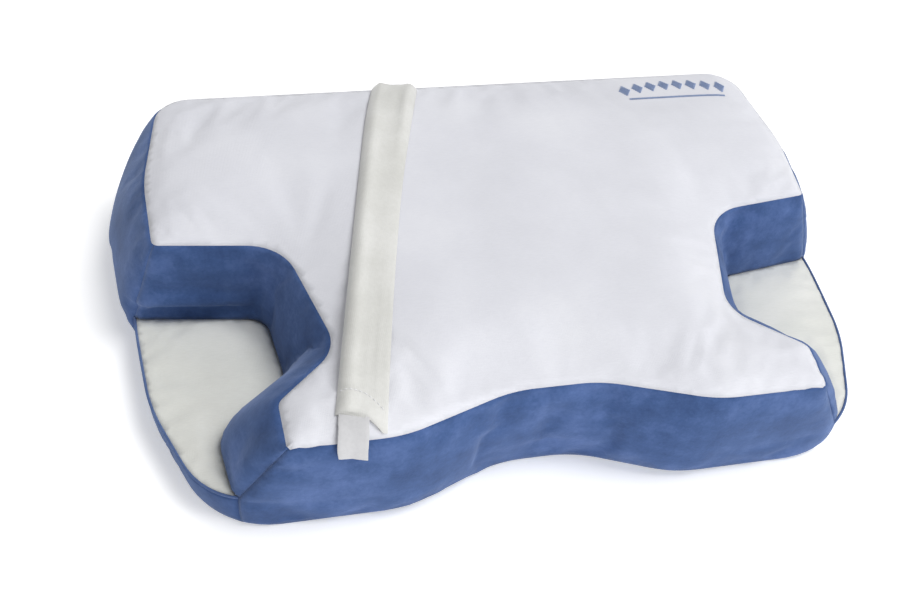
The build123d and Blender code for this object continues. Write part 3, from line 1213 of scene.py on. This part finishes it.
def front_lines(x0, x1, y_start, z_end, across, stations):
    """Lines over the front edge: along the top from y_start, then down the front wall."""
    lines = []
    for share in np.linspace(0, 1, across):
        x = x0 + (x1 - x0) * share
        end = z_end + TAB_SLANT * (1 - share)
        chain = []
        if y_start is not None:
            for y in np.arange(y_start, FRONT_Y + 1, -2.0):
                aside = TAB_SHIFT * (y - FRONT_Y) / (y_start - FRONT_Y)
                chain.append(ray_down(top_ray, x + aside, y))
        chain += [ray_along(cover_ray, x, z, 1) for z in np.linspace(SEAM_FRONT - 1, end, 14)]
        chain = [np.array(p) for p in chain if p is not None]
        lines.append(softened(resampled(hull(chain), stations), 3))
    return lines


def band_piece(name, lines, thickness, lift, material):
    """Flat band laid over lines, with softened edges."""
    thick = np.full((len(lines), len(lines[0])), float(thickness))
    points, faces = laid(lines, thick, lift)
    obj = closed_object(name, points, faces, material)
    mod = obj.modifiers.new("Bevel", "BEVEL")
    mod.width = 0.3 * MM
    mod.segments = 2
    mod.limit_method = "ANGLE"
    apply_modifiers(obj)
    return obj


tab_lift = 0.9 + (TAB_LAYERS - 0.6) * np.clip(np.linspace(0, 3, TAB_STATIONS), 0, 1)
tab_lines = front_lines(TAB_X0, TAB_X1, STRAP_END + 1, TAB_LOW_Z, 9, TAB_STATIONS)
tab = band_piece("closing_tab_webbing", tab_lines, TAB_T, tab_lift, "webbing")
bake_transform(tab)
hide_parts("tether_tab")
hook_lines = front_lines(TAB_X0 + 1, TAB_X1 - 1, None, TAB_LOW_Z + 1.5, 8, 12)
hook = band_piece("hook_patch", hook_lines, PATCH_T, 1.2, "hook_and_loop")
declare(hook, "tether_tab", ["tab_hook_patch"])
loop_lines = front_lines(TAB_X0 + 1.5, TAB_X1 - 1.5, None, TAB_LOW_Z + 1.5, 8, 12)
loop_patch = band_piece("loop_patch", loop_lines, PATCH_T, 0.15, "hook_and_loop")
declare(loop_patch, "root", ["front_loop_patch"])


# --- embroidery
# height of a thread across its width: share of the pitch, share of the full height
THREAD_SECTION = ((-0.42, 0.1), (-0.25, 0.8), (0, 1.0), (0.25, 0.8), (0.42, 0.1))


def satin(outline_half, middle, length):
    """Rows of satin stitch: one low ridge for each thread across a shape."""
    points, faces = [], []
    rows = round(length / THREAD_PITCH)
    for r in range(rows):
        along = (r + 0.5) / rows * 2 - 1
        half = outline_half(along)
        if half < 0.3:
            continue
        here = along * length / 2
        segments = max(4, round(half / 0.8))
        for k in range(segments + 1):
            across = (k / segments * 2 - 1) * half
            arch = 0.35 + 0.75 * math.sqrt(max(0, 1 - (across / half) ** 2))
            for dx, h in THREAD_SECTION:
                x, y = (middle[0] + here + dx * THREAD_PITCH, middle[1] + across)
                hit = ray_down(top_ray, x, y)
                points.append((x, y, hit.z + 0.05 + h * arch * 0.9))
        start = len(points) - 5 * (segments + 1)
        for k in range(segments):
            for j in range(4):
                a = start + 5 * k + j
                faces.append((a, a + 1, a + 6, a + 5))
    return points, faces


def embroidery():
    """A row of lozenges over a stitched line."""
    points, faces = [], []

    def add(piece):
        start = len(points)
        points.extend(piece[0])
        faces.extend(tuple(start + v for v in f) for f in piece[1])

    for i in range(MOTIF_COUNT):
        step = i - (MOTIF_COUNT - 1) / 2
        middle = (MOTIF_X + step * MOTIF_STEP, MOTIF_Y - MOTIF_ARCH * step * step)
        add(satin(lambda a: MOTIF_HALF_H * (1 - abs(a)), middle, 2 * MOTIF_HALF_W))
    add(satin(lambda a: BAR_HALF_W, (MOTIF_X, BAR_Y), MOTIF_STEP * (MOTIF_COUNT - 1)))
    obj = new_object("corner_motif_thread", points, faces, MATERIALS["thread"])
    return declare(finished(obj, 0.25), "root", ["corner_embroidery"])


embroidery()


# --- zipper
TOOTH_PITCH = 1.6


def zipper_teeth(part, side):
    """One side of the coil: a row of rounded teeth that reach over the middle line."""
    low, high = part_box(f"zipper_coil_{part}")
    rise = TAPE_UPPER[1] - TAPE_LOWER[1]
    up = Vector((0, rise.y, rise.z)).normalized()
    out = Vector((0, up.z, -up.y))
    centre = (low + high) / 2 / MM
    count = int((high.x - low.x) / MM / TOOTH_PITCH)
    points, faces = [], []
    for i in range(count):
        x = low.x / MM + (i + 0.5 + 0.25 * side) * TOOTH_PITCH
        middle = Vector((x, centre.y, centre.z))
        start = len(points)
        for v in (-0.62, -0.35, 0.35, 0.62):
            width = 0.30 if abs(v) > 0.5 else 0.42
            depth = 0.35 if abs(v) > 0.5 else 0.62
            for a in range(6):
                turn = math.pi * a / 3
                aside = Vector((math.cos(turn) * width, 0, 0))
                points.append(tuple(middle + up * v + aside + out * (math.sin(turn) * depth)))
        faces += barrel_faces(4, 6, start)
    obj = closed_object(f"zipper_teeth_{part}", points, faces, "zipper_coil")
    return declare(obj, "root", [f"zipper_coil_{part}"])


zipper_teeth("upper", 1)
zipper_teeth("lower", -1)
for name in ("zipper_tape_upper", "zipper_tape_lower"):
    NODES[name].data.materials.append(MATERIALS["zipper_tape"])
for name in ("zipper_slider", "zipper_pull", "zipper_stops"):
    NODES[name].data.materials.append(MATERIALS["zipper_metal"])


# --- camera, floor and light
FLOOR = 30000.0       # half the floor's side
FLOOR_GLOW = 0.34
WORLD_LIGHT = 0.36
SUN_LIGHT = 1.10
SUN_SPREAD = 28
LIGHTS = [            # name, place, size and power of each soft lamp, in metres and watts
    ("key", (0.9, -0.25, 2.0), 0.9, 11),
    ("fill", (0.7, -2.0, 0.35), 1.4, 18),
    ("rim", (0.2, 1.7, 1.0), 1.4, 4),
]
TARGET = (-0.0393, -0.0232, 0.045)
CAMERA_TURN = (-16.9, 45.48, 6.98)   # azimuth, elevation and roll, in degrees
CAMERA_DISTANCE = 0.752
LENS = 42.99


def placed(name, data):
    """Object in the scene for a lamp's or a camera's data."""
    obj = bpy.data.objects.new(name, data)
    bpy.context.scene.collection.objects.link(obj)
    return obj


def facing_centre(place):
    return (-Vector(place)).to_track_quat("-Z", "Y").to_euler()


def floor_and_world():
    """Plain pale floor, and an even light that the camera sees as white."""
    corners = [(x * FLOOR, y * FLOOR, -0.5) for x, y in ((-1, -1), (1, -1), (1, 1), (-1, 1))]
    floor = new_object("studio_floor", corners, [(0, 1, 2, 3)], smooth=False)
    paint = bpy.data.materials.new("studio_floor")
    paint.use_nodes = True
    shader = paint.node_tree.nodes["Principled BSDF"]
    shader.inputs["Base Color"].default_value = (0.96, 0.96, 0.96, 1)
    shader.inputs["Roughness"].default_value = 0.9
    shader.inputs["Emission Color"].default_value = (1, 1, 1, 1)
    shader.inputs["Emission Strength"].default_value = FLOOR_GLOW
    floor.data.materials.append(paint)

    world = bpy.data.worlds.new("studio")
    world.use_nodes = True
    tree = world.node_tree
    lit = tree.nodes["Background"]
    lit.inputs["Color"].default_value = (1, 1, 1, 1)
    lit.inputs["Strength"].default_value = WORLD_LIGHT
    seen = tree.nodes.new("ShaderNodeBackground")
    seen.inputs["Color"].default_value = (1, 1, 1, 1)
    path = tree.nodes.new("ShaderNodeLightPath")
    mix = tree.nodes.new("ShaderNodeMixShader")
    tree.links.new(path.outputs["Is Camera Ray"], mix.inputs[0])
    tree.links.new(lit.outputs[0], mix.inputs[1])
    tree.links.new(seen.outputs[0], mix.inputs[2])
    tree.links.new(mix.outputs[0], tree.nodes["World Output"].inputs["Surface"])
    bpy.context.scene.world = world
    bpy.context.scene.view_settings.view_transform = "Standard"


def lamps():
    """A soft sun from the key lamp's side, and the soft lamps."""
    sun = bpy.data.lights.new("sun", "SUN")
    sun.energy = SUN_LIGHT
    sun.angle = math.radians(SUN_SPREAD)
    placed("sun", sun).rotation_euler = facing_centre(LIGHTS[0][1])
    for name, place, size, power in LIGHTS:
        data = bpy.data.lights.new(name, "AREA")
        data.size = size
        data.energy = power
        light = placed(name, data)
        light.location = place
        light.rotation_euler = facing_centre(place)


def camera():
    azimuth, elevation, roll = (math.radians(a) for a in CAMERA_TURN)
    level = math.cos(elevation)
    back = Vector((math.sin(azimuth) * level, -math.cos(azimuth) * level, math.sin(elevation)))
    right = Vector((0, 0, 1)).cross(back).normalized()
    turned = Matrix((right, back.cross(right), back)).transposed() @ Matrix.Rotation(roll, 3, "Z")
    data = bpy.data.cameras.new("camera")
    data.lens = LENS
    data.sensor_width = 36
    obj = placed("camera", data)
    obj.matrix_world = Matrix.Translation(Vector(TARGET) + back * CAMERA_DISTANCE) @ turned.to_4x4()
    bpy.context.scene.camera = obj


floor_and_world()
lamps()
camera()
